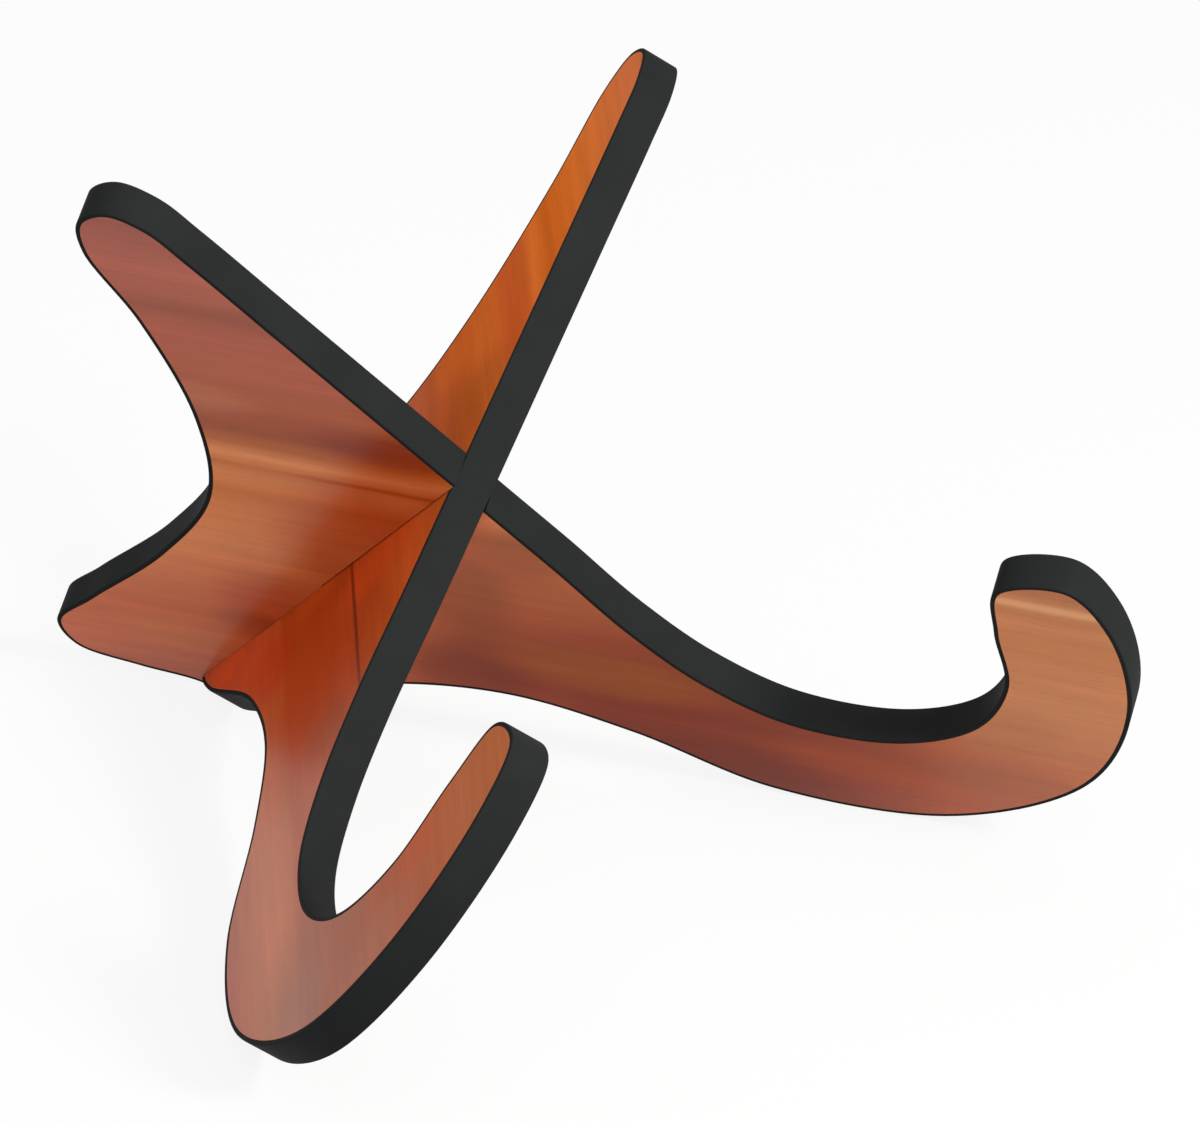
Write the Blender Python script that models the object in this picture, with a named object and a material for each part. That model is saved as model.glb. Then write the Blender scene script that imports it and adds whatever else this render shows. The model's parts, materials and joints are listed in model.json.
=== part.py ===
"""Knock-down ukulele stand: two edge-banded boards that slot into each other as an X.

Each board has an upper arm that the instrument's back leans on, a front leg that ends in an
upturned hook, and a rear foot. The boards cross on a line that slopes down from front to back,
by as much as brings the front bellies and the rear feet down on the floor together.
Metres, +Z up, +Y to the back, +X to the right as the player sees it.
"""
from math import cos, radians, sin

import bmesh
import bpy
from mathutils import Matrix, Vector

MM = 0.001

# what one board is made of
BOARD_THICKNESS = 9.4 * MM
VENEER_THICKNESS = 0.6 * MM
EDGING_THICKNESS = 0.8 * MM
EDGING_CHAMFER = 0.35 * MM
GLUE_GAP = 0.3 * MM

# stretches the board's outline along the crossing line and along the arm
BACK_SCALE = 1.0
ARM_SCALE = 1.0

# how the two boards meet: each has half of the crossing line as its slot
CROSSING_ANGLE = radians(90.0)
SLOT_CLEARANCE = 0.3 * MM
SLOT_SHARE = 0.5
SLOT_OVERCUT = 20.0 * MM

# between which tilts of the crossing line the stand's own one is looked for, and how often halved
TILT_LOW = radians(15.0)
TILT_HIGH = radians(75.0)
TILT_HALVINGS = 40

# the straight front edge in millimetres: where it crosses, and its lean towards the player
FRONT_EDGE_OFFSET = -4.5
FRONT_EDGE_SLOPE = -0.285

# facets between two neighbouring points of the outline
STEPS_PER_SPAN = 7


def front_edge(u):
    """Point of the straight front edge at height u along the board."""
    return (FRONT_EDGE_OFFSET + FRONT_EDGE_SLOPE * u, u)


# The board's outline in millimetres, (back along the crossing line, up towards the arm),
# clockwise from the arm's tip. The curve runs smoothly through these points.
ARM_BACK = [(-22.5, 115.5), (-13.0, 109.5), (0.5, 87.5), (24.0, 60.0), (50.5, 42.5)]
FOOT_TOP = [(83.0, 38.5), (116.5, 41.0), (133.5, 41.5)]
FOOT_END = [(139.3, 32.5), (133.5, 17.5), (127.0, 5.5), (124.0, -4.5), (115.5, -12.0)]
ARCH = [(84.0, -28.0), (61.5, -50.0), (49.0, -78.0)]
BELLY = [(40.0, -113.0), (13.5, -146.5), (-26.0, -160.0), (-61.5, -149.5)]
HOOK_FRONT = [(-86.0, -127.0), (-91.5, -110.5)]
HOOK_TIP = [(-78.0, -100.0)]
CRADLE = [(-63.5, -109.0), (-46.5, -123.5), (-25.0, -128.5), (-4.0, -120.0), (11.2, -100.0),
          (14.8, -78.0), (11.5, -54.5)]
FRONT_EDGE = [front_edge(-30.0), front_edge(-12.0), front_edge(30.0), front_edge(62.0), front_edge(90.0)]
ARM_TIP = [(-33.0, 103.0), (-30.5, 112.5)]
OUTLINE_NODES = (ARM_BACK + FOOT_TOP + FOOT_END + ARCH + BELLY + HOOK_FRONT + HOOK_TIP + CRADLE
                 + FRONT_EDGE + ARM_TIP)
ARCH_MIDDLE = ARCH[1][0]

WOOD = {"colour": (0.36, 0.12, 0.055, 1.0), "roughness": 0.38, "metallic": 0.0}
PLY = {"colour": (0.45, 0.29, 0.15, 1.0), "roughness": 0.6, "metallic": 0.0}
BLACK = {"colour": (0.032, 0.034, 0.036, 1.0), "roughness": 0.55, "metallic": 0.0}


def clear_scene():
    for item in list(bpy.data.objects):
        bpy.data.objects.remove(item, do_unlink=True)


def material(name, finish):
    """One Principled material with a colour, a roughness and a metallic value."""
    made = bpy.data.materials.new(name)
    made.use_nodes = True
    shader = made.node_tree.nodes["Principled BSDF"]
    shader.inputs["Base Color"].default_value = finish["colour"]
    shader.inputs["Roughness"].default_value = finish["roughness"]
    shader.inputs["Metallic"].default_value = finish["metallic"]
    return made


def spline_point(before, start, end, after, share):
    """Centripetal curve between start and end, share 0 to 1."""
    knots = [0.0]
    points = (before, start, end, after)
    for first, second in zip(points, points[1:]):
        knots.append(knots[-1] + (second - first).length ** 0.5)
    t0, t1, t2, t3 = knots
    t = t1 + (t2 - t1) * share
    a1 = before.lerp(start, (t - t0) / (t1 - t0))
    a2 = start.lerp(end, (t - t1) / (t2 - t1))
    a3 = end.lerp(after, (t - t2) / (t3 - t2))
    b1 = a1.lerp(a2, (t - t0) / (t2 - t0))
    b2 = a2.lerp(a3, (t - t1) / (t3 - t1))
    return b1.lerp(b2, (t - t1) / (t2 - t1))


def board_outline():
    """The outer edge of the banded board as a closed list of points in metres."""
    nodes = [Vector((back * BACK_SCALE, up * ARM_SCALE)) * MM for back, up in OUTLINE_NODES]
    count = len(nodes)
    curve = []
    for index in range(count):
        around = [nodes[(index + shift) % count] for shift in (-1, 0, 1, 2)]
        for step in range(STEPS_PER_SPAN):
            curve.append(spline_point(*around, step / STEPS_PER_SPAN))
    return curve


def inset(outline, distance):
    """The outline moved inwards by distance, along the mean of its two edge normals."""
    moved = []
    count = len(outline)
    for index, point in enumerate(outline):
        arriving = (point - outline[index - 1]).normalized()
        leaving = (outline[(index + 1) % count] - point).normalized()
        along = (arriving + leaving).normalized()
        inwards = Vector((along.y, -along.x))
        widen = 1.0 / max(0.5, inwards.dot(Vector((arriving.y, -arriving.x))))
        moved.append(point + inwards * distance * widen)
    return moved


def span_at_crossing(outline):
    """Front and back of the board on the crossing line."""
    hits = []
    for first, second in zip(outline, outline[1:] + outline[:1]):
        if (first.y > 0.0) != (second.y > 0.0):
            share = first.y / (first.y - second.y)
            hits.append(first.x + (second.x - first.x) * share)
    return min(hits), max(hits)


def loop_faces(bm, rings):
    """Walls between closed rings of points; the last ring joins the first."""
    made = [[bm.verts.new(point) for point in ring] for ring in rings]
    count = len(made[0])
    for ring, following in zip(made, made[1:] + made[:1]):
        for index in range(count):
            other = (index + 1) % count
            bm.faces.new((ring[index], ring[other], following[other], following[index]))


def finish_mesh(bm, name):
    bmesh.ops.recalc_face_normals(bm, faces=bm.faces)
    mesh = bpy.data.meshes.new(name)
    bm.to_mesh(mesh)
    bm.free()
    return mesh


def plate_mesh(name, outline, low, high):
    """A flat sheet with the given outline between two heights of the board's thickness."""
    bm = bmesh.new()
    face = bm.faces.new([bm.verts.new((point.x, point.y, low)) for point in outline])
    grown = bmesh.ops.extrude_face_region(bm, geom=[face])
    lifted = [item for item in grown["geom"] if isinstance(item, bmesh.types.BMVert)]
    bmesh.ops.translate(bm, verts=lifted, vec=(0.0, 0.0, high - low))
    return finish_mesh(bm, name)


def edging_rings(outline):
    """The black strip's section swept round the board: six closed rings of points."""
    half = BOARD_THICKNESS / 2
    inner = inset(outline, EDGING_THICKNESS)
    shoulder = inset(outline, EDGING_CHAMFER)
    profile = [(inner, -half), (shoulder, -half), (outline, EDGING_CHAMFER - half),
               (outline, half - EDGING_CHAMFER), (shoulder, half), (inner, half)]
    return [[Vector((point.x, point.y, height)) for point in ring] for ring, height in profile]


def edging_mesh(name, outline):
    """The strip bent round the board, with its two outer corners chamfered."""
    bm = bmesh.new()
    loop_faces(bm, edging_rings(outline))
    return finish_mesh(bm, name)


def slot_width():
    """Width, on the board's faces, that lets the other board through at the crossing angle."""
    slanted = BOARD_THICKNESS * abs(cos(CROSSING_ANGLE))
    return (BOARD_THICKNESS + 2 * SLOT_CLEARANCE + slanted) / sin(CROSSING_ANGLE)


def slot_cutter(name, start, end):
    """A box along the crossing line, right through the board."""
    bm = bmesh.new()
    bmesh.ops.create_cube(bm, size=1.0)
    bmesh.ops.scale(bm, verts=bm.verts, vec=(end - start, slot_width(), BOARD_THICKNESS * 2))
    bmesh.ops.translate(bm, verts=bm.verts, vec=((start + end) / 2, 0.0, 0.0))
    cutter = bpy.data.objects.new(name, finish_mesh(bm, name))
    cutter.hide_render = True
    cutter.display_type = "WIRE"
    return cutter


def cut_with(target, cutter):
    cut = target.modifiers.new("slot", "BOOLEAN")
    cut.operation = "DIFFERENCE"
    cut.solver = "EXACT"
    cut.object = cutter


def board_turn(side, tilt):
    """Turns a flat board into its place: side is -1 for the left arm and 1 for the right."""
    back = Vector((0.0, cos(tilt), -sin(tilt)))
    up = Vector((0.0, sin(tilt), cos(tilt)))
    lean = CROSSING_ANGLE / 2
    arm = up * cos(lean) + Vector((side * sin(lean), 0.0, 0.0))
    across = back.cross(arm)
    return Matrix((back, arm, across)).transposed()


def turned_places(outline, tilt):
    """Each point of the banded rim with its place in a board through the origin."""
    turn = board_turn(-1, tilt)
    return [(point, turn @ point) for ring in edging_rings(outline) for point in ring]


def resting_tilt(outline):
    """Tilt at which the belly, before the arch, and the foot, behind it, are equally low."""
    arch = ARCH_MIDDLE * BACK_SCALE * MM
    low, high = TILT_LOW, TILT_HIGH
    for _ in range(TILT_HALVINGS):
        tilt = (low + high) / 2
        places = turned_places(outline, tilt)
        belly = min(place.z for point, place in places if point.x < arch)
        foot = min(place.z for point, place in places if point.x > arch)
        if foot < belly:
            high = tilt
        else:
            low = tilt
    return (low + high) / 2


def crossing_place(outline, tilt):
    """Where the crossing's origin is, so that the stand is centred and on the floor."""
    places = [place for _, place in turned_places(outline, tilt)]
    depths = [place.y for place in places]
    return Vector((0.0, -(min(depths) + max(depths)) / 2, -min(place.z for place in places)))


def build_board(name, side, slot, place):
    """Core, two veneers and the edging of one board, cut by its slot, under one empty."""
    outline = board_outline()
    board = inset(outline, EDGING_THICKNESS + GLUE_GAP)
    half = BOARD_THICKNESS / 2
    core = half - VENEER_THICKNESS - GLUE_GAP
    carrier = bpy.data.objects.new(name, None)
    carrier.matrix_world = place
    bpy.context.collection.objects.link(carrier)
    cutter = slot_cutter(name + "_slot", slot[0], slot[1])
    faces = {1: (half - VENEER_THICKNESS, half), -1: (-half, VENEER_THICKNESS - half)}
    upper = faces[-side]
    lower = faces[side]
    pieces = {
        name + "_core": (plate_mesh("core", board, -core, core), PLY),
        name + "_upper_veneer": (plate_mesh("upper_veneer", board, *upper), WOOD),
        name + "_lower_veneer": (plate_mesh("lower_veneer", board, *lower), WOOD),
        name + "_edging": (edging_mesh("edging", outline), BLACK),
    }
    cutter.parent = carrier
    bpy.context.collection.objects.link(cutter)
    for piece, (mesh, finish) in pieces.items():
        made = bpy.data.objects.new(piece, mesh)
        made.data.materials.append(material(piece, finish))
        made.parent = carrier
        bpy.context.collection.objects.link(made)
        cut_with(made, cutter)


def build_stand():
    outline = board_outline()
    tilt = resting_tilt(outline)
    seat = Matrix.Translation(crossing_place(outline, tilt))
    front, back = span_at_crossing(outline)
    middle = front + (back - front) * SLOT_SHARE
    rest = SLOT_CLEARANCE / 2
    slots = {-1: (front - SLOT_OVERCUT, middle + rest), 1: (middle - rest, back + SLOT_OVERCUT)}
    for name, side in (("left_board", -1), ("right_board", 1)):
        build_board(name, side, slots[side], seat @ board_turn(side, tilt).to_4x4())


clear_scene()
build_stand()
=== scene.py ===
"""Looks of the knock-down ukulele stand: two sapele-veneered boards with black rubber edging.

The boards' solids are the frame. This script gives each board finer edging and veneer sheets
in the same places, a layered plywood core, a pale floor, soft light and the camera.
"""
import json
from math import cos, pi, radians, sin

import bmesh
import bpy
from mathutils import Matrix, Vector


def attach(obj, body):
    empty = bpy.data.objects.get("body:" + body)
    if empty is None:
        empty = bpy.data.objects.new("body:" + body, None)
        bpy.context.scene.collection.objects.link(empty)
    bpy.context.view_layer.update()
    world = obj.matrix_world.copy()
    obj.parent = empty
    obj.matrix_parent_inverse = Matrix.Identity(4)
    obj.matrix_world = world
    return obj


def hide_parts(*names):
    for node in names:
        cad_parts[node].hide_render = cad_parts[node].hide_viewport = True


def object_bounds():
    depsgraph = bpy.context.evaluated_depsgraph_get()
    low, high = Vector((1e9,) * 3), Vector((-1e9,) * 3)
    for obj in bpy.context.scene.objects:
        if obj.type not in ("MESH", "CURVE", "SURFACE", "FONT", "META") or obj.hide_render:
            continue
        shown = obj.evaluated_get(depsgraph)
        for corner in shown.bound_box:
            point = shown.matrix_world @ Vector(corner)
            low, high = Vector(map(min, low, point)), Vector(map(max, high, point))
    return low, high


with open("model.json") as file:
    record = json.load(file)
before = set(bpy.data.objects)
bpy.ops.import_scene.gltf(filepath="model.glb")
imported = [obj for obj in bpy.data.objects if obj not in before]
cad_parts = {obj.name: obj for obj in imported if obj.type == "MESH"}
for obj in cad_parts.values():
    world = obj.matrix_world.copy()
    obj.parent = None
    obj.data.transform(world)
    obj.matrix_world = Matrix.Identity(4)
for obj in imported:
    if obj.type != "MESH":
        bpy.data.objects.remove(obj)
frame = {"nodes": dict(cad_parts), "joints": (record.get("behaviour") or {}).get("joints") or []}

CAD_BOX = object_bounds()
MM = 0.001

# the crossing line runs down to the back, against the way the right board slides out
SLIDE_DIRECTION = Vector(frame["joints"][0]["axis"]).normalized()

# one board, as the solids have it
BOARD_THICKNESS = 9.4 * MM
VENEER_THICKNESS = 0.6 * MM
GLUE_GAP = 0.3 * MM
EDGING_THICKNESS = 0.8 * MM
SLOT_CLEARANCE = 0.3 * MM
SLOT_SHARE = 0.5
SLOT_OVERCUT = 20.0 * MM
CROSSING_ANGLE = radians(90.0)
FRONT_EDGE_OFFSET = -4.5
FRONT_EDGE_SLOPE = -0.285

# finer than the solids
STEPS_PER_SPAN = 14
HAIRLINE = 0.05 * MM
EDGING_ROUND = 0.35 * MM
VENEER_ROUND = 0.12 * MM
SHARP_ANGLE = radians(40.0)
SAME_HEIGHT = 0.001 * MM
KEY_STEP = 0.0001 * MM

# the grain's direction on each board, measured from the crossing line towards the arm
GRAIN_ANGLE = radians(55.0)

# the veneer's patterns, each given by its length along the grain and its width across it; real
# fibre lines and pores are 0.1 to 0.2 mm wide and are drawn coarser here, so that they show
DRIFT_SIZE = (90.0 * MM, 40.0 * MM)
RIBBON_SIZE = (70.0 * MM, 5.0 * MM)
FIBRE_SIZE = (30.0 * MM, 0.9 * MM)
PORE_SIZE = (4.0 * MM, 0.3 * MM)
DRIFT_SEED = 11.0
FIBRE_SEED = 7.0
PORE_SEED = 3.0

# how far the bands wander to each side, how much ribbons and fibres darken and lighten them, and
# the values of their patterns at which they are darkest and lightest
WANDER = 0.8 * MM
RIBBON_SHADES = (0.92, 1.08)
FIBRE_SHADES = (0.94, 1.06)
SHADE_VALUES = (0.3, 0.7)

# a pore's colour, how strongly it shows and how deep it is, and the values of the pores' pattern
# at which a pore starts and at which it is fully open
PORE_COLOUR = "5A2410"
PORE_STRENGTH = 0.3
PORE_DEPTH = 0.03 * MM
PORE_VALUES = (0.62, 0.75)

# the share of a patch's size within which it has its full strength
PATCH_CORE = 0.3

# the bare wood's sheen, the lacquer over it, and the stretch across the grain over which the
# lacquer's weight goes from its lower to its upper value
WOOD_ROUGHNESS = (0.5, 0.62)
WOOD_IOR = 1.5
LACQUER_IOR = 1.5
LACQUER_ROUGHNESS = 0.25
LACQUER_LOW = -75.0 * MM
LACQUER_HIGH = 12.0 * MM

# the rubber's two tones, the size of its mottling, and its grain, drawn coarser than the real
# one so that it shows
RUBBER_TONES = ("171818", "1F2020")
RUBBER_MOTTLE = 16.67 * MM
RUBBER_GRAIN = 0.4 * MM
RUBBER_GRAIN_DEPTH = 0.05 * MM
RUBBER_ROUGHNESS = (0.55, 0.75)
RUBBER_IOR = 1.5

# the core's layers, one along and one across in each pair, how softly one meets the next, and the
# fibres seen on a sawn edge
PLY_PAIR = 2.6 * MM
PLY_TONES = ("A97F55", "D3B083")
PLY_BLUR = 0.2
PLY_FIBRE_SIZE = (8.33 * MM, 8.33 * MM, 0.556 * MM)
PLY_FIBRE_COLOUR = "7C5836"
PLY_FIBRE_STRENGTH = 0.4

# each sheet's own place in the patterns, moved on by this step between the two boards
UPPER_SEED = 1.0
LOWER_SEED = 5.0
BOARD_SEED_STEP = 20.0


def front_edge(u):
    """Point of the straight front edge at height u along the board."""
    return (FRONT_EDGE_OFFSET + FRONT_EDGE_SLOPE * u, u)


# the board's outline in millimetres, the same points as the solids have
ARM_BACK = [(-22.5, 115.5), (-13.0, 109.5), (0.5, 87.5), (24.0, 60.0), (50.5, 42.5)]
FOOT_TOP = [(83.0, 38.5), (116.5, 41.0), (133.5, 41.5)]
FOOT_END = [(139.3, 32.5), (133.5, 17.5), (127.0, 5.5), (124.0, -4.5), (115.5, -12.0)]
ARCH = [(84.0, -28.0), (61.5, -50.0), (49.0, -78.0)]
BELLY = [(40.0, -113.0), (13.5, -146.5), (-26.0, -160.0), (-61.5, -149.5)]
HOOK_FRONT = [(-86.0, -127.0), (-91.5, -110.5)]
HOOK_TIP = [(-78.0, -100.0)]
CRADLE = [(-63.5, -109.0), (-46.5, -123.5), (-25.0, -128.5), (-4.0, -120.0), (11.2, -100.0),
          (14.8, -78.0), (11.5, -54.5)]
FRONT_EDGE = [front_edge(u) for u in (-30.0, -12.0, 30.0, 62.0, 90.0)]
ARM_TIP = [(-33.0, 103.0), (-30.5, 112.5)]
OUTLINE_NODES = (ARM_BACK + FOOT_TOP + FOOT_END + ARCH + BELLY + HOOK_FRONT + HOOK_TIP + CRADLE
                 + FRONT_EDGE + ARM_TIP)

# input and output numbers of a colour Mix node
MIX_FACTOR = 0
MIX_A = 6
MIX_B = 7
MIX_RESULT = 2


def linear(hex_colour):
    """An sRGB hex colour such as A05A48 as linear red, green, blue and 1."""
    channels = [int(hex_colour[place:place + 2], 16) / 255 for place in (0, 2, 4)]
    return [c / 12.92 if c <= 0.04045 else ((c + 0.055) / 1.055) ** 2.4 for c in channels] + [1.0]


def add_node(tree, kind, links=None, **settings):
    """Adds one node; links gives each named or numbered input a socket or a constant."""
    made = tree.nodes.new(kind)
    for name, value in settings.items():
        setattr(made, name, value)
    for place, source in (links or {}).items():
        if isinstance(source, bpy.types.NodeSocket):
            tree.links.new(source, made.inputs[place])
        else:
            made.inputs[place].default_value = source
    return made


def new_material(name):
    """An empty node material with its tree and its shader."""
    made = bpy.data.materials.new(name)
    made.use_nodes = True
    tree = made.node_tree
    return made, tree, tree.nodes["Principled BSDF"]


def board_turn(side):
    """Turns a flat board into its place: side is -1 for the left arm and 1 for the right."""
    back = -SLIDE_DIRECTION
    up = Vector((0.0, -back.z, back.y))
    lean = CROSSING_ANGLE / 2
    arm = up * cos(lean) + Vector((side * sin(lean), 0.0, 0.0))
    across = back.cross(arm)
    return Matrix((back, arm, across)).transposed()


def spline_point(before, start, end, after, share):
    """Centripetal curve between start and end, share 0 to 1."""
    knots = [0.0]
    points = (before, start, end, after)
    for first, second in zip(points, points[1:]):
        knots.append(knots[-1] + (second - first).length ** 0.5)
    t0, t1, t2, t3 = knots
    t = t1 + (t2 - t1) * share
    a1 = before.lerp(start, (t - t0) / (t1 - t0))
    a2 = start.lerp(end, (t - t1) / (t2 - t1))
    a3 = end.lerp(after, (t - t2) / (t3 - t2))
    b1 = a1.lerp(a2, (t - t0) / (t2 - t0))
    b2 = a2.lerp(a3, (t - t1) / (t3 - t1))
    return b1.lerp(b2, (t - t1) / (t2 - t1))


def board_outline():
    """The outer edge of the banded board as a closed list of flat points in metres."""
    nodes = [Vector(node) * MM for node in OUTLINE_NODES]
    count = len(nodes)
    curve = []
    for index in range(count):
        around = [nodes[(index + shift) % count] for shift in (-1, 0, 1, 2)]
        curve += [spline_point(*around, step / STEPS_PER_SPAN) for step in range(STEPS_PER_SPAN)]
    return curve


def span_at_crossing(outline):
    """Front and back of the board on the crossing line."""
    hits = []
    for first, second in zip(outline, outline[1:] + outline[:1]):
        if (first.y > 0.0) != (second.y > 0.0):
            share = first.y / (first.y - second.y)
            hits.append(first.x + (second.x - first.x) * share)
    return min(hits), max(hits)


def outline_face(bm, outline, height):
    """One flat face inside the outline, facing along +Z."""
    face = bm.faces.new([bm.verts.new((point.x, point.y, height)) for point in outline])
    face.normal_update()
    if face.normal.z < 0.0:
        face.normal_flip()
    return face


def raise_faces(bm, faces, rise):
    """Extrudes flat faces into a closed slab."""
    grown = bmesh.ops.extrude_face_region(bm, geom=faces)
    lifted = [item for item in grown["geom"] if isinstance(item, bmesh.types.BMVert)]
    bmesh.ops.translate(bm, verts=lifted, vec=(0.0, 0.0, rise))
    bmesh.ops.recalc_face_normals(bm, faces=bm.faces)


def rim_edges(bm, height, outer_points):
    """Edges of the cap at the given height that lie on the outer outline."""
    marked = set(outer_points)
    return [edge for edge in bm.edges
            if all(at_height(v, height) and flat_key(v.co) in marked for v in edge.verts)]


def at_height(corner, height):
    """Whether a mesh corner lies at the given height."""
    return abs(corner.co.z - height) < SAME_HEIGHT


def flat_key(place):
    """A point's flat place in whole small steps, to find it again."""
    return round(place.x / KEY_STEP), round(place.y / KEY_STEP)


def edging_shape(bm, outline):
    """The strip bent round the board: an inset ring, raised, with its outer corners rounded."""
    half = BOARD_THICKNESS / 2
    face = outline_face(bm, outline, -half)
    ring = bmesh.ops.inset_region(bm, faces=[face], use_boundary=True, use_even_offset=True,
                                  thickness=EDGING_THICKNESS + GLUE_GAP - HAIRLINE)
    bmesh.ops.delete(bm, geom=[face], context="FACES")
    raise_faces(bm, ring["faces"], BOARD_THICKNESS)
    outer = [flat_key(point) for point in outline]
    corners = rim_edges(bm, -half, outer) + rim_edges(bm, half, outer)
    bmesh.ops.bevel(bm, geom=corners, offset=EDGING_ROUND, segments=4, profile=0.5,
                    affect="EDGES", material=-1)


def veneer_shape(bm, outline, facing):
    """A sheet inside the edging, glued to the core, its outer rim very slightly rounded."""
    half = BOARD_THICKNESS / 2
    inside = half - VENEER_THICKNESS - GLUE_GAP + HAIRLINE
    face = outline_face(bm, outline, facing * inside)
    ring = bmesh.ops.inset_region(bm, faces=[face], use_boundary=True, use_even_offset=True,
                                  thickness=EDGING_THICKNESS + GLUE_GAP)
    bmesh.ops.delete(bm, geom=ring["faces"], context="FACES")
    raise_faces(bm, [face], facing * (half - inside))
    corners = [edge for edge in bm.edges if all(at_height(v, facing * half) for v in edge.verts)]
    bmesh.ops.bevel(bm, geom=corners, offset=VENEER_ROUND, segments=2, profile=0.5,
                    affect="EDGES", material=-1)


def cut_slot(piece, slot):
    """Cuts the slot for the other board out of a flat piece."""
    bm = bmesh.new()
    bmesh.ops.create_cube(bm, size=1.0)
    width = BOARD_THICKNESS + 2 * SLOT_CLEARANCE
    bmesh.ops.scale(bm, verts=bm.verts, vec=(slot[1] - slot[0], width, BOARD_THICKNESS * 2))
    bmesh.ops.translate(bm, verts=bm.verts, vec=((slot[0] + slot[1]) / 2, 0.0, 0.0))
    cutter = mesh_object("slot_cutter", bm)
    cut = piece.modifiers.new("slot", "BOOLEAN")
    cut.operation = "DIFFERENCE"
    cut.solver = "EXACT"
    cut.object = cutter
    shown = piece.evaluated_get(bpy.context.evaluated_depsgraph_get())
    whole = piece.data
    piece.data = bpy.data.meshes.new_from_object(shown)
    piece.modifiers.remove(cut)
    bpy.data.meshes.remove(whole)
    bpy.data.objects.remove(cutter)


def mesh_object(name, bm):
    """A mesh object from a bmesh, which is freed."""
    mesh = bpy.data.meshes.new(name)
    bm.to_mesh(mesh)
    bm.free()
    made = bpy.data.objects.new(name, mesh)
    bpy.context.scene.collection.objects.link(made)
    return made


def smooth_shading(piece):
    """Rounded corners shade smoothly and flat faces stay flat."""
    piece.data.shade_smooth()
    piece.data.set_sharp_from_angle(angle=SHARP_ANGLE)
    weights = piece.modifiers.new("flat_faces_lead", "WEIGHTED_NORMAL")
    weights.keep_sharp = True


def flat_piece(name, slot, shape, *details):
    """A piece of a flat board, shaped by the given function, with the other board's slot cut out."""
    bm = bmesh.new()
    shape(bm, *details)
    piece = mesh_object(name, bm)
    cut_slot(piece, slot)
    return piece


def place_piece(piece, place, body, node_name, finish):
    """Puts the piece's mesh in its place, gives it its finish and hands it to the frame."""
    piece.data.transform(place)
    piece.data.materials.clear()
    piece.data.materials.append(finish)
    smooth_shading(piece)
    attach(piece, body)
    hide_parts(node_name)


def board_place(side, outline):
    """The matrix from board coordinates to the stand, seated in the solids' box."""
    turn = board_turn(side)
    flank = BOARD_THICKNESS / 2 - EDGING_ROUND
    places = [turn @ Vector((point.x, point.y, height)) for point in outline for height in (-flank, flank)]
    depths = [place.y for place in places]
    low, high = CAD_BOX
    centring = (low.y + high.y) / 2 - (min(depths) + max(depths)) / 2
    seating = low.z - min(place.z for place in places)
    shift = Vector((0.0, centring, seating))
    return Matrix.Translation(shift) @ turn.to_4x4()


def along_the_grain(tree, place):
    """Coordinates laid along the grain: X along it, Y across it, Z through the board."""
    grain_turn = place.to_3x3() @ Matrix.Rotation(GRAIN_ANGLE, 3, "Z")
    where = add_node(tree, "ShaderNodeTexCoord").outputs["Object"]
    return add_node(tree, "ShaderNodeMapping",
                    {"Vector": where, "Location": place.translation, "Rotation": grain_turn.to_euler()},
                    vector_type="TEXTURE").outputs["Vector"]


def drawn_out_patches(tree, along, seed, size, detail=2.0):
    """Soft patches, 0 to 1, of the given length along the grain and width across it."""
    length, width = size
    stretched = add_node(tree, "ShaderNodeMapping",
                         {"Vector": along, "Scale": (1.0 / length, 1.0 / width, 1.0 / width)})
    return add_node(tree, "ShaderNodeTexNoise",
                    {"Vector": stretched.outputs["Vector"], "W": seed, "Scale": 1.0, "Detail": detail,
                     "Roughness": 0.5},
                    noise_dimensions="4D").outputs["Fac"]


def wandering_grain(tree, straight, seed):
    """Grain coordinates whose lines wander a little to each side, and the place across them."""
    axes = add_node(tree, "ShaderNodeSeparateXYZ", {"Vector": straight}).outputs
    drift = drawn_out_patches(tree, straight, seed + DRIFT_SEED, DRIFT_SIZE)
    wander = add_node(tree, "ShaderNodeMapRange",
                      {"Value": drift, "To Min": -WANDER, "To Max": WANDER}).outputs["Result"]
    across = add_node(tree, "ShaderNodeMath", {0: axes["Y"], 1: wander}).outputs["Value"]
    along = add_node(tree, "ShaderNodeCombineXYZ",
                     {"X": axes["X"], "Y": across, "Z": axes["Z"]}).outputs["Vector"]
    return along, across


def tones_by_place(tree, place, stops):
    """Colour ramp over stops of (place in mm, hex colour), lowest first."""
    low, high = stops[0][0], stops[-1][0]
    share = add_node(tree, "ShaderNodeMapRange",
                     {"Value": place, "From Min": low * MM, "From Max": high * MM}).outputs["Result"]
    ramp = add_node(tree, "ShaderNodeValToRGB", {"Fac": share})
    elements = ramp.color_ramp.elements
    elements[0].color = linear(stops[0][1])
    elements[1].color = linear(stops[-1][1])
    for offset, tone in stops[1:-1]:
        elements.new((offset - low) / (high - low)).color = linear(tone)
    return ramp.outputs["Color"]


def patch_share(tree, along, middle_x, middle_y, half_length, half_width, strength):
    """A long soft patch along the grain: strength in its heart, 0 outside it."""
    centred = add_node(tree, "ShaderNodeMapping",
                       {"Vector": along, "Location": (middle_x * MM, middle_y * MM, 0.0),
                        "Scale": (half_length * MM, half_width * MM, 1.0)},
                       vector_type="TEXTURE").outputs["Vector"]
    away = add_node(tree, "ShaderNodeVectorMath", {0: centred}, operation="LENGTH").outputs["Value"]
    return add_node(tree, "ShaderNodeMapRange",
                    {"Value": away, "From Min": 1.0, "From Max": PATCH_CORE, "To Max": strength},
                    interpolation_type="SMOOTHSTEP").outputs["Result"]


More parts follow.
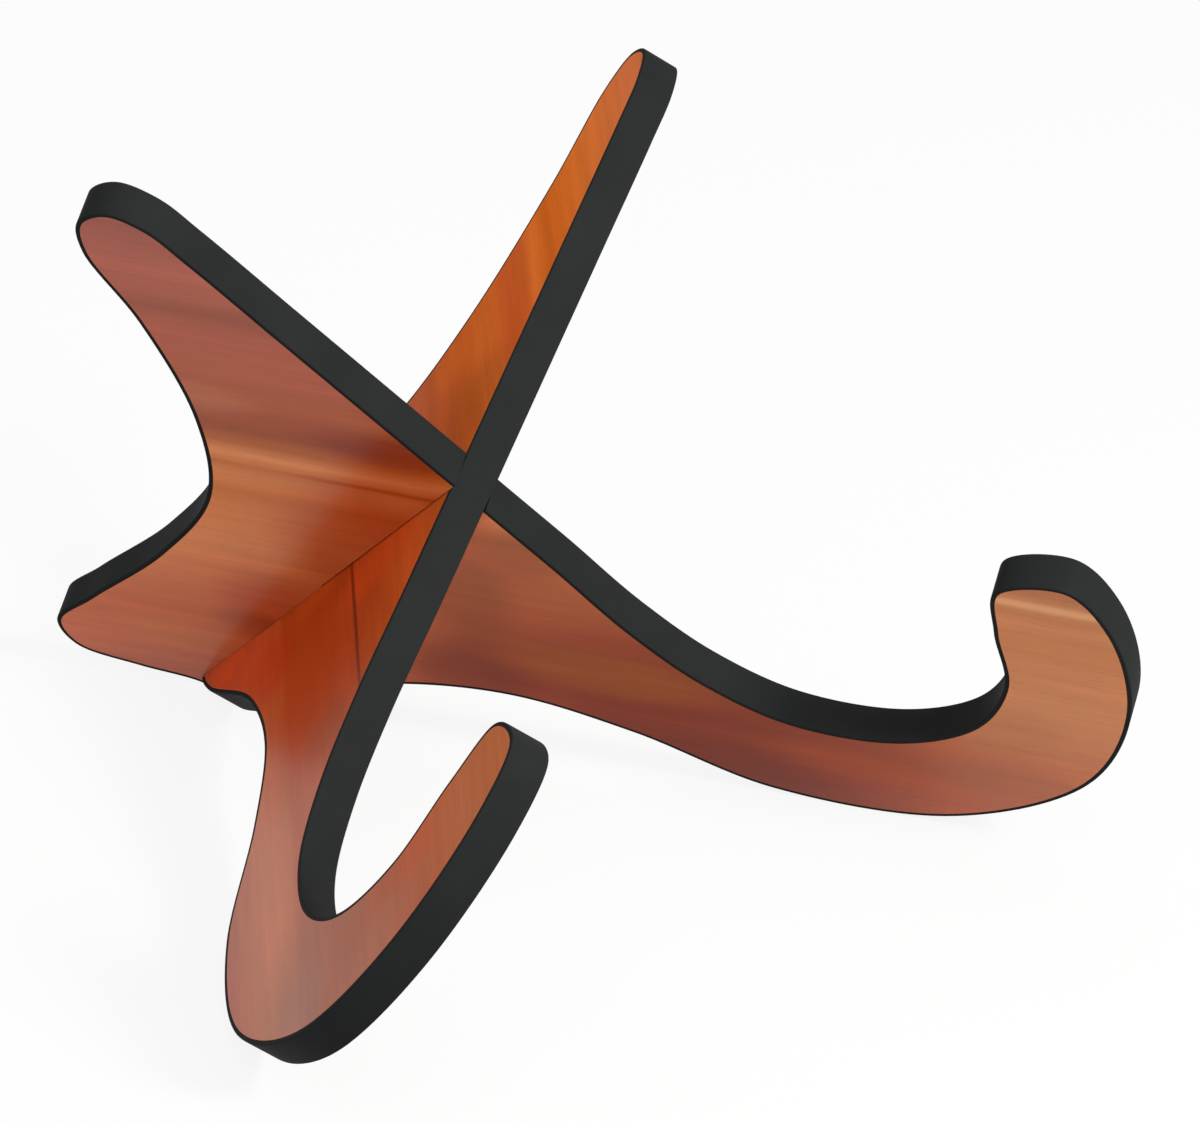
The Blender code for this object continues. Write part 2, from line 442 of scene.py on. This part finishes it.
def shaded_by(tree, toned, pattern, shades):
    """A colour darkened where the pattern is low and lightened where it is high."""
    low, high = SHADE_VALUES
    darkest, lightest = shades
    shade = add_node(tree, "ShaderNodeMapRange",
                     {"Value": pattern, "From Min": low, "From Max": high,
                      "To Min": darkest, "To Max": lightest}).outputs["Result"]
    return add_node(tree, "ShaderNodeMix", {MIX_FACTOR: 1.0, MIX_A: toned, MIX_B: shade},
                    data_type="RGBA", blend_type="MULTIPLY").outputs[MIX_RESULT]


def lacquer_weight(tree, along, across, figure):
    """How much lacquer there is: a lower and an upper value, and less in the thin patch."""
    lower_end, upper_end = figure["lacquer"]
    full = add_node(tree, "ShaderNodeMapRange",
                    {"Value": across, "From Min": LACQUER_LOW, "From Max": LACQUER_HIGH,
                     "To Min": lower_end, "To Max": upper_end},
                    interpolation_type="SMOOTHSTEP").outputs["Result"]
    lost = patch_share(tree, along, *figure["thin lacquer"])
    kept = add_node(tree, "ShaderNodeMath", {0: 1.0, 1: lost}, operation="SUBTRACT").outputs["Value"]
    return add_node(tree, "ShaderNodeMath", {0: full, 1: kept}, operation="MULTIPLY").outputs["Value"]


def sapele_veneer(name, place, seed, figure):
    """Sapele veneer, sliced, stained red-orange and lacquered to a gloss.

    The eye sees broad straight bands and soft patches in the figure, some of those by the crossing painted
    shade and reflection, ribbons a few millimetres wide, fine fibre lines and short open pores, and over
    them the lacquer's soft reflection.
    """
    made, tree, shader = new_material(name)
    along, across = wandering_grain(tree, along_the_grain(tree, place), seed)
    toned = tones_by_place(tree, across, figure["bands"])
    for *shape, colour, strength in figure["patches"]:
        share = patch_share(tree, along, *shape, strength)
        toned = add_node(tree, "ShaderNodeMix",
                         {MIX_FACTOR: share, MIX_A: toned, MIX_B: linear(colour)},
                         data_type="RGBA").outputs[MIX_RESULT]
    ribbon = drawn_out_patches(tree, along, seed, RIBBON_SIZE)
    toned = shaded_by(tree, toned, ribbon, RIBBON_SHADES)
    fibre = drawn_out_patches(tree, along, seed + FIBRE_SEED, FIBRE_SIZE, 3.0)
    toned = shaded_by(tree, toned, fibre, FIBRE_SHADES)
    pore = drawn_out_patches(tree, along, seed + PORE_SEED, PORE_SIZE)
    shut, wide = PORE_VALUES
    pore_share = add_node(tree, "ShaderNodeMapRange",
                          {"Value": pore, "From Min": shut, "From Max": wide, "To Max": PORE_STRENGTH},
                          interpolation_type="SMOOTHSTEP").outputs["Result"]
    coloured = add_node(tree, "ShaderNodeMix",
                        {MIX_FACTOR: pore_share, MIX_A: toned, MIX_B: linear(PORE_COLOUR)},
                        data_type="RGBA").outputs[MIX_RESULT]
    tree.links.new(coloured, shader.inputs["Base Color"])
    smoothest, roughest = WOOD_ROUGHNESS
    rough = add_node(tree, "ShaderNodeMapRange",
                     {"Value": fibre, "To Min": smoothest, "To Max": roughest}).outputs["Result"]
    tree.links.new(rough, shader.inputs["Roughness"])
    bump = add_node(tree, "ShaderNodeBump",
                    {"Height": pore_share, "Strength": 0.2, "Distance": PORE_DEPTH}, invert=True)
    tree.links.new(bump.outputs["Normal"], shader.inputs["Normal"])
    tree.links.new(lacquer_weight(tree, along, across, figure), shader.inputs["Coat Weight"])
    shader.inputs["IOR"].default_value = WOOD_IOR
    shader.inputs["Specular IOR Level"].default_value = 0.0
    shader.inputs["Coat IOR"].default_value = LACQUER_IOR
    shader.inputs["Coat Roughness"].default_value = LACQUER_ROUGHNESS
    return made


def rubber_edging():
    """Black rubber edge strip, extruded: matt dark grey with a fine even grain."""
    made, tree, shader = new_material("extruded_black_rubber")
    where = add_node(tree, "ShaderNodeTexCoord").outputs["Object"]
    mottle = add_node(tree, "ShaderNodeTexNoise",
                      {"Vector": where, "Scale": 1.0 / RUBBER_MOTTLE, "Detail": 4.0}).outputs["Fac"]
    darker, lighter = RUBBER_TONES
    tone = add_node(tree, "ShaderNodeMix",
                    {MIX_FACTOR: mottle, MIX_A: linear(darker), MIX_B: linear(lighter)},
                    data_type="RGBA").outputs[MIX_RESULT]
    tree.links.new(tone, shader.inputs["Base Color"])
    grain = add_node(tree, "ShaderNodeTexNoise",
                     {"Vector": where, "Scale": 1.0 / RUBBER_GRAIN, "Detail": 2.0}).outputs["Fac"]
    smoothest, roughest = RUBBER_ROUGHNESS
    rough = add_node(tree, "ShaderNodeMapRange",
                     {"Value": grain, "To Min": smoothest, "To Max": roughest}).outputs["Result"]
    tree.links.new(rough, shader.inputs["Roughness"])
    bump = add_node(tree, "ShaderNodeBump",
                    {"Height": grain, "Strength": 0.3, "Distance": RUBBER_GRAIN_DEPTH})
    tree.links.new(bump.outputs["Normal"], shader.inputs["Normal"])
    shader.inputs["IOR"].default_value = RUBBER_IOR
    shader.inputs["Specular IOR Level"].default_value = 0.02
    return made


def plywood_core(name, place):
    """Birch plywood, sawn: pale layers in turn along and across, seen on the slot's walls."""
    made, tree, shader = new_material(name)
    where = add_node(tree, "ShaderNodeTexCoord").outputs["Object"]
    level = add_node(tree, "ShaderNodeMapping",
                     {"Vector": where, "Location": place.translation, "Rotation": place.to_euler()},
                     vector_type="TEXTURE").outputs["Vector"]
    height = add_node(tree, "ShaderNodeSeparateXYZ", {"Vector": level}).outputs["Z"]
    wave = add_node(tree, "ShaderNodeMath", {0: height, 1: 2 * pi / PLY_PAIR}, operation="MULTIPLY")
    ply = add_node(tree, "ShaderNodeMath", {0: wave.outputs["Value"]}, operation="SINE").outputs["Value"]
    ply_share = add_node(tree, "ShaderNodeMapRange",
                         {"Value": ply, "From Min": -PLY_BLUR, "From Max": PLY_BLUR},
                         interpolation_type="SMOOTHSTEP").outputs["Result"]
    darker, lighter = PLY_TONES
    tone = add_node(tree, "ShaderNodeMix",
                    {MIX_FACTOR: ply_share, MIX_A: linear(darker), MIX_B: linear(lighter)},
                    data_type="RGBA").outputs[MIX_RESULT]
    fibres = add_node(tree, "ShaderNodeMapping",
                      {"Vector": level, "Scale": [1.0 / size for size in PLY_FIBRE_SIZE]})
    fibre = add_node(tree, "ShaderNodeTexNoise",
                     {"Vector": fibres.outputs["Vector"], "Scale": 1.0, "Detail": 4.0}).outputs["Fac"]
    shade = add_node(tree, "ShaderNodeMapRange",
                     {"Value": fibre, "To Max": PLY_FIBRE_STRENGTH}).outputs["Result"]
    coloured = add_node(tree, "ShaderNodeMix",
                        {MIX_FACTOR: shade, MIX_A: tone, MIX_B: linear(PLY_FIBRE_COLOUR)},
                        data_type="RGBA").outputs[MIX_RESULT]
    tree.links.new(coloured, shader.inputs["Base Color"])
    shader.inputs["Roughness"].default_value = 0.7
    return made


# The veneers' figures, in millimetres from the crossing. A band is a place across the grain and
# its colour. A patch is its middle along and across the grain, its half length and half width, its
# colour and its strength. The lacquer has a weight below and above, and the thin lacquer is a
# patch without a colour: in its heart that share of the lacquer's weight is missing.
PALE_STREAK_FIGURE = {
    # the bands at -96 and -70, across the foot, are lightened against the shade the stand casts there:
    # painted light
    "bands": [(-96.0, "BE6040"), (-70.0, "BA5A2C"), (-60.0, "BE6236"), (-36.0, "D07B45"),
              (-18.0, "C87034"), (-12.0, "BE6725"), (-4.5, "CE7840"), (-0.8, "B6601F"),
              (3.5, "D0804A"), (8.0, "A6541E"), (14.0, "944118"), (20.0, "913F1D"),
              (26.0, "A34E2B"), (42.0, "9F4C34"), (50.0, "A34E37"), (57.0, "90462F"),
              (70.0, "A65440"), (86.0, "90483A")],
    "patches": [
        # the leg and belly are a darker red, partly the wood's own tone and partly painted shade from the
        # other board above them, and the hook is paler
        (-60.0, -76.0, 85.0, 60.0, "681800", 0.8),
        (-20.0, -42.0, 50.0, 50.0, "7C1600", 0.5),
        (-150.0, -20.0, 60.0, 80.0, "9F6843", 0.55),
        (-140.0, 3.4, 36.0, 2.2, "D89C6C", 0.55),
        # the arm's root and the foot are redder and darker by the crossing: painted red reflection of the
        # other board and painted shade in the corner between the two boards
        (14.0, -4.0, 26.0, 24.0, "A83000", 0.5),
        (28.0, -32.0, 26.0, 40.0, "A02400", 0.6),
        (15.0, 15.0, 28.0, 9.0, "6C0E00", 0.5),
        # a dark line between the two pale streaks
        (20.0, -0.8, 32.0, 1.3, "8A2C00", 0.5),
        # browns and dark reds where the leg leaves the crossing, painted shade of the other board beside
        # its edging, with a lighter middle
        (-14.0, -16.0, 16.0, 13.0, "7A3A10", 0.45),
        (1.0, -39.0, 15.0, 28.0, "6E3414", 0.34),
        (4.0, -74.0, 24.0, 24.0, "5A1200", 0.55),
        (-31.0, -61.0, 38.0, 14.0, "994D12", 0.65),
        # small changes of tone in the foot, the arm and along the belly
        (51.0, -61.0, 20.0, 24.0, "A02200", 0.5),
        (58.0, -70.0, 14.0, 9.0, "742C08", 0.3),
        (62.0, 24.0, 20.0, 8.0, "B06444", 0.5),
        (-90.0, -80.0, 28.0, 12.0, "A2400C", 0.5),
        (-131.0, -76.0, 28.0, 18.0, "8C5038", 0.5),
        (-58.0, -89.0, 40.0, 13.0, "5A0C00", 0.32),
        (-127.0, -52.0, 22.0, 16.0, "985C34", 0.4),
        (79.0, -81.0, 20.0, 8.0, "C87038", 0.4),
    ],
    "lacquer": (0.55, 0.55),
    "thin lacquer": (-16.0, -62.0, 115.0, 60.0, 0.42),
}
DARK_LINE_FIGURE = {
    "bands": [(-96.0, "9A4220"), (-88.0, "A6522A"), (-80.0, "AE5A30"), (-71.5, "AE5628"),
              (-68.5, "9E4210"), (-30.0, "A44412"), (-12.0, "AE5020"), (6.0, "B0521E"),
              (20.0, "C46124"), (28.0, "C05522"), (34.0, "BF5721"), (40.0, "D16926"),
              (46.0, "C25C17"), (58.0, "D16B25"), (84.0, "C66A3C")],
    "patches": [
        # red below the crossing, a browner belly and a paler hook
        (0.0, -55.0, 66.0, 40.0, "9E2A02", 0.55),
        (-130.0, -61.0, 46.0, 38.0, "703C10", 0.38),
        (-140.0, 2.0, 40.0, 28.0, "A0684A", 0.5),
        # bright reds along the crossing line, down to its lower end
        (-2.0, -18.0, 30.0, 14.0, "CC5020", 0.4),
        (46.0, -84.0, 30.0, 20.0, "C82C00", 0.5),
        (10.0, -28.0, 16.0, 24.0, "C84410", 0.5),
        (34.0, -50.0, 13.0, 18.0, "C44A14", 0.5),
        (57.0, -92.0, 15.0, 15.0, "CC440C", 0.65),
        (24.0, -76.0, 20.0, 14.0, "AC1800", 0.45),
        # the arm's root, darker in front and brighter behind
        (20.0, 12.0, 20.0, 24.0, "964C18", 0.42),
        (52.0, 5.0, 16.0, 11.0, "C86220", 0.5),
        # the hook, the belly and the leg by the cradle, a little darker
        (-150.0, -34.0, 16.0, 26.0, "8E6048", 0.28),
        (-137.0, -70.0, 24.0, 13.0, "824E40", 0.42),
        (-38.0, -53.0, 16.0, 12.0, "7A3408", 0.4),
        # the dark line
        (-5.0, -40.0, 60.0, 1.0, "5A1600", 0.8),
    ],
    "lacquer": (0.6, 0.02),
    "thin lacquer": (18.0, -66.0, 90.0, 34.0, 0.54),
}
FAINT_RIBBON_FIGURE = {
    "bands": [(-96.0, "B05A2C"), (-62.0, "A44A18"), (-44.0, "B4581F"), (-30.0, "A5481A"),
              (-4.0, "BA5C22"), (18.0, "AD5220"), (33.0, "C6662A"), (52.0, "B85A20"),
              (84.0, "C66A3C")],
    "patches": [
        # a darker leg, a paler hook and a pale line in the arm
        (-70.0, -70.0, 80.0, 30.0, "8A3208", 0.4),
        (-140.0, -10.0, 40.0, 26.0, "A0684A", 0.4),
        (20.0, 26.0, 70.0, 3.0, "D98A50", 0.35),
    ],
    "lacquer": (0.6, 0.1),
    "thin lacquer": (10.0, -30.0, 80.0, 40.0, 0.4),
}
BROAD_BAND_FIGURE = {
    "bands": [(-96.0, "B45C3C"), (-74.0, "A24A28"), (-50.0, "BE6C3C"), (-28.0, "B25F30"),
              (-8.0, "C87440"), (10.0, "B06034"), (26.0, "A65238"), (48.0, "B2604A"),
              (70.0, "A2533C")],
    "patches": [
        # a darker leg, a paler hook and a dark line below the crossing
        (-60.0, -60.0, 90.0, 26.0, "7C2400", 0.45),
        (-140.0, -20.0, 60.0, 60.0, "B87A55", 0.4),
        (30.0, -46.0, 50.0, 2.5, "7A3010", 0.4),
    ],
    "lacquer": (0.5, 0.5),
    "thin lacquer": (-20.0, -60.0, 90.0, 40.0, 0.4),
}


def build_board(name, side, slot, outline, edging_finish, figures):
    """One board: its edging, its upper and lower veneer and the finish of its plywood core."""
    place = board_place(side, outline)
    edging = flat_piece(name + "_rubber_edging", slot, edging_shape, outline)
    place_piece(edging, place, name, name + "_edging", edging_finish)
    upper_figure, lower_figure = figures
    sheets = {name + "_upper_veneer": (-side, UPPER_SEED, upper_figure),
              name + "_lower_veneer": (side, LOWER_SEED, lower_figure)}
    for node_name, (facing, seed, figure) in sheets.items():
        sheet = flat_piece(node_name + "_sheet", slot, veneer_shape, outline, facing)
        finish = sapele_veneer(node_name + "_sapele", place, seed + BOARD_SEED_STEP * side, figure)
        place_piece(sheet, place, name, node_name, finish)
    core = frame["nodes"][name + "_core"]
    core.data.materials.clear()
    core.data.materials.append(plywood_core(name + "_plywood", place))


def build_stand():
    """Both boards, each with its half of the crossing cut out for the other one."""
    outline = board_outline()
    front, back = span_at_crossing(outline)
    middle = front + (back - front) * SLOT_SHARE
    rest = SLOT_CLEARANCE / 2
    front_slot = (front - SLOT_OVERCUT, middle + rest)
    back_slot = (middle - rest, back + SLOT_OVERCUT)
    rubber = rubber_edging()
    left_figures = (FAINT_RIBBON_FIGURE, PALE_STREAK_FIGURE)
    right_figures = (DARK_LINE_FIGURE, BROAD_BAND_FIGURE)
    build_board("left_board", -1, front_slot, outline, rubber, left_figures)
    build_board("right_board", 1, back_slot, outline, rubber, right_figures)


# the camera: where it looks, from which side and how far, as the photograph was taken
CAMERA_LENS = 200.01
CAMERA_TARGET = Vector((19.71, -22.77, 75.91)) * MM
CAMERA_AZIMUTH = radians(40.804)
CAMERA_ELEVATION = radians(25.595)
CAMERA_ROLL = radians(-3.343)
CAMERA_DISTANCE = 1537.5 * MM
SENSOR_WIDTH = 36.0
CLIP_NEAR = 50.0 * MM
CLIP_FAR = 50000.0 * MM

# the studio: the floor's own tone, how far it is lifted to white where it is seen, the light from
# all round, and the softboxes with their place in metres, their size in metres and their watts
FLOOR_HALF_WIDTH = 6.0
FLOOR_TONE = "BCBCBA"
FLOOR_LIFT = 0.88
WORLD_LIGHT = 0.85
SOFTBOXES = {
    "softbox_above_left": ((-0.9, -0.9, 1.5), 0.9, 10.0),
    "softbox_right": ((1.4, -0.8, 0.9), 0.9, 1.5),
    "softbox_front": ((0.2, -1.41, 1.14), 0.35, 44.0),
}
LAMPS_AIM = Vector((0.0, 0.0, 80.0)) * MM


def add_camera():
    """A long lens from the front left, a little above, rolled slightly."""
    data = bpy.data.cameras.new("camera")
    data.lens = CAMERA_LENS
    data.sensor_width = SENSOR_WIDTH
    data.clip_start = CLIP_NEAR
    data.clip_end = CLIP_FAR
    camera = bpy.data.objects.new("camera", data)
    turn = (Matrix.Rotation(-CAMERA_AZIMUTH, 4, "Z")
            @ Matrix.Rotation(radians(90.0) - CAMERA_ELEVATION, 4, "X")
            @ Matrix.Rotation(-CAMERA_ROLL, 4, "Z"))
    back = turn.to_3x3() @ Vector((0.0, 0.0, 1.0))
    camera.matrix_world = Matrix.Translation(CAMERA_TARGET + back * CAMERA_DISTANCE) @ turn
    bpy.context.scene.collection.objects.link(camera)
    bpy.context.scene.camera = camera


def seen_share(tree):
    """1 for rays from the camera, a reflection or a clear piece, and 0 for light on the object."""
    path = add_node(tree, "ShaderNodeLightPath").outputs
    direct = add_node(tree, "ShaderNodeMath",
                      {0: path["Is Camera Ray"], 1: path["Is Glossy Ray"]}, operation="MAXIMUM")
    return add_node(tree, "ShaderNodeMath",
                    {0: direct.outputs["Value"], 1: path["Is Transmission Ray"]},
                    operation="MAXIMUM").outputs["Value"]


def add_floor():
    """A pale matt floor, lifted towards white where it is seen, that keeps the soft shadow."""
    bm = bmesh.new()
    bmesh.ops.create_grid(bm, x_segments=1, y_segments=1, size=FLOOR_HALF_WIDTH)
    floor = mesh_object("floor", bm)
    made, tree, shader = new_material("pale_matt_floor")
    shader.inputs["Base Color"].default_value = linear(FLOOR_TONE)
    shader.inputs["Roughness"].default_value = 0.9
    shader.inputs["Specular IOR Level"].default_value = 0.0
    lift = add_node(tree, "ShaderNodeMath", {0: seen_share(tree), 1: FLOOR_LIFT}, operation="MULTIPLY")
    white = add_node(tree, "ShaderNodeEmission", {"Color": linear("FFFFFF"), "Strength": 1.0})
    mixed = add_node(tree, "ShaderNodeMixShader",
                     {0: lift.outputs["Value"], 1: shader.outputs["BSDF"],
                      2: white.outputs["Emission"]})
    tree.links.new(mixed.outputs["Shader"], tree.nodes["Material Output"].inputs["Surface"])
    floor.data.materials.append(made)


def add_world():
    """Even pale light from all round, and white where the background is seen directly."""
    world = bpy.data.worlds.new("studio")
    world.use_nodes = True
    tree = world.node_tree
    tree.nodes.clear()
    light = add_node(tree, "ShaderNodeBackground", {"Color": linear("FFFFFF"), "Strength": WORLD_LIGHT})
    seen = add_node(tree, "ShaderNodeBackground", {"Color": linear("FFFFFF"), "Strength": 1.0})
    mixed = add_node(tree, "ShaderNodeMixShader",
                     {0: seen_share(tree), 1: light.outputs["Background"],
                      2: seen.outputs["Background"]})
    add_node(tree, "ShaderNodeOutputWorld", {"Surface": mixed.outputs["Shader"]})
    bpy.context.scene.world = world


def add_softbox(name, place, size, power):
    """A square area lamp that faces the stand."""
    data = bpy.data.lights.new(name, "AREA")
    data.shape = "SQUARE"
    data.size = size
    data.energy = power
    lamp = bpy.data.objects.new(name, data)
    lamp.location = place
    lamp.rotation_euler = (LAMPS_AIM - Vector(place)).to_track_quat("-Z", "Y").to_euler()
    bpy.context.scene.collection.objects.link(lamp)


add_camera()
build_stand()
add_floor()
add_world()
for name, (place, size, power) in SOFTBOXES.items():
    add_softbox(name, place, size, power)
bpy.context.scene.view_settings.view_transform = "Standard"
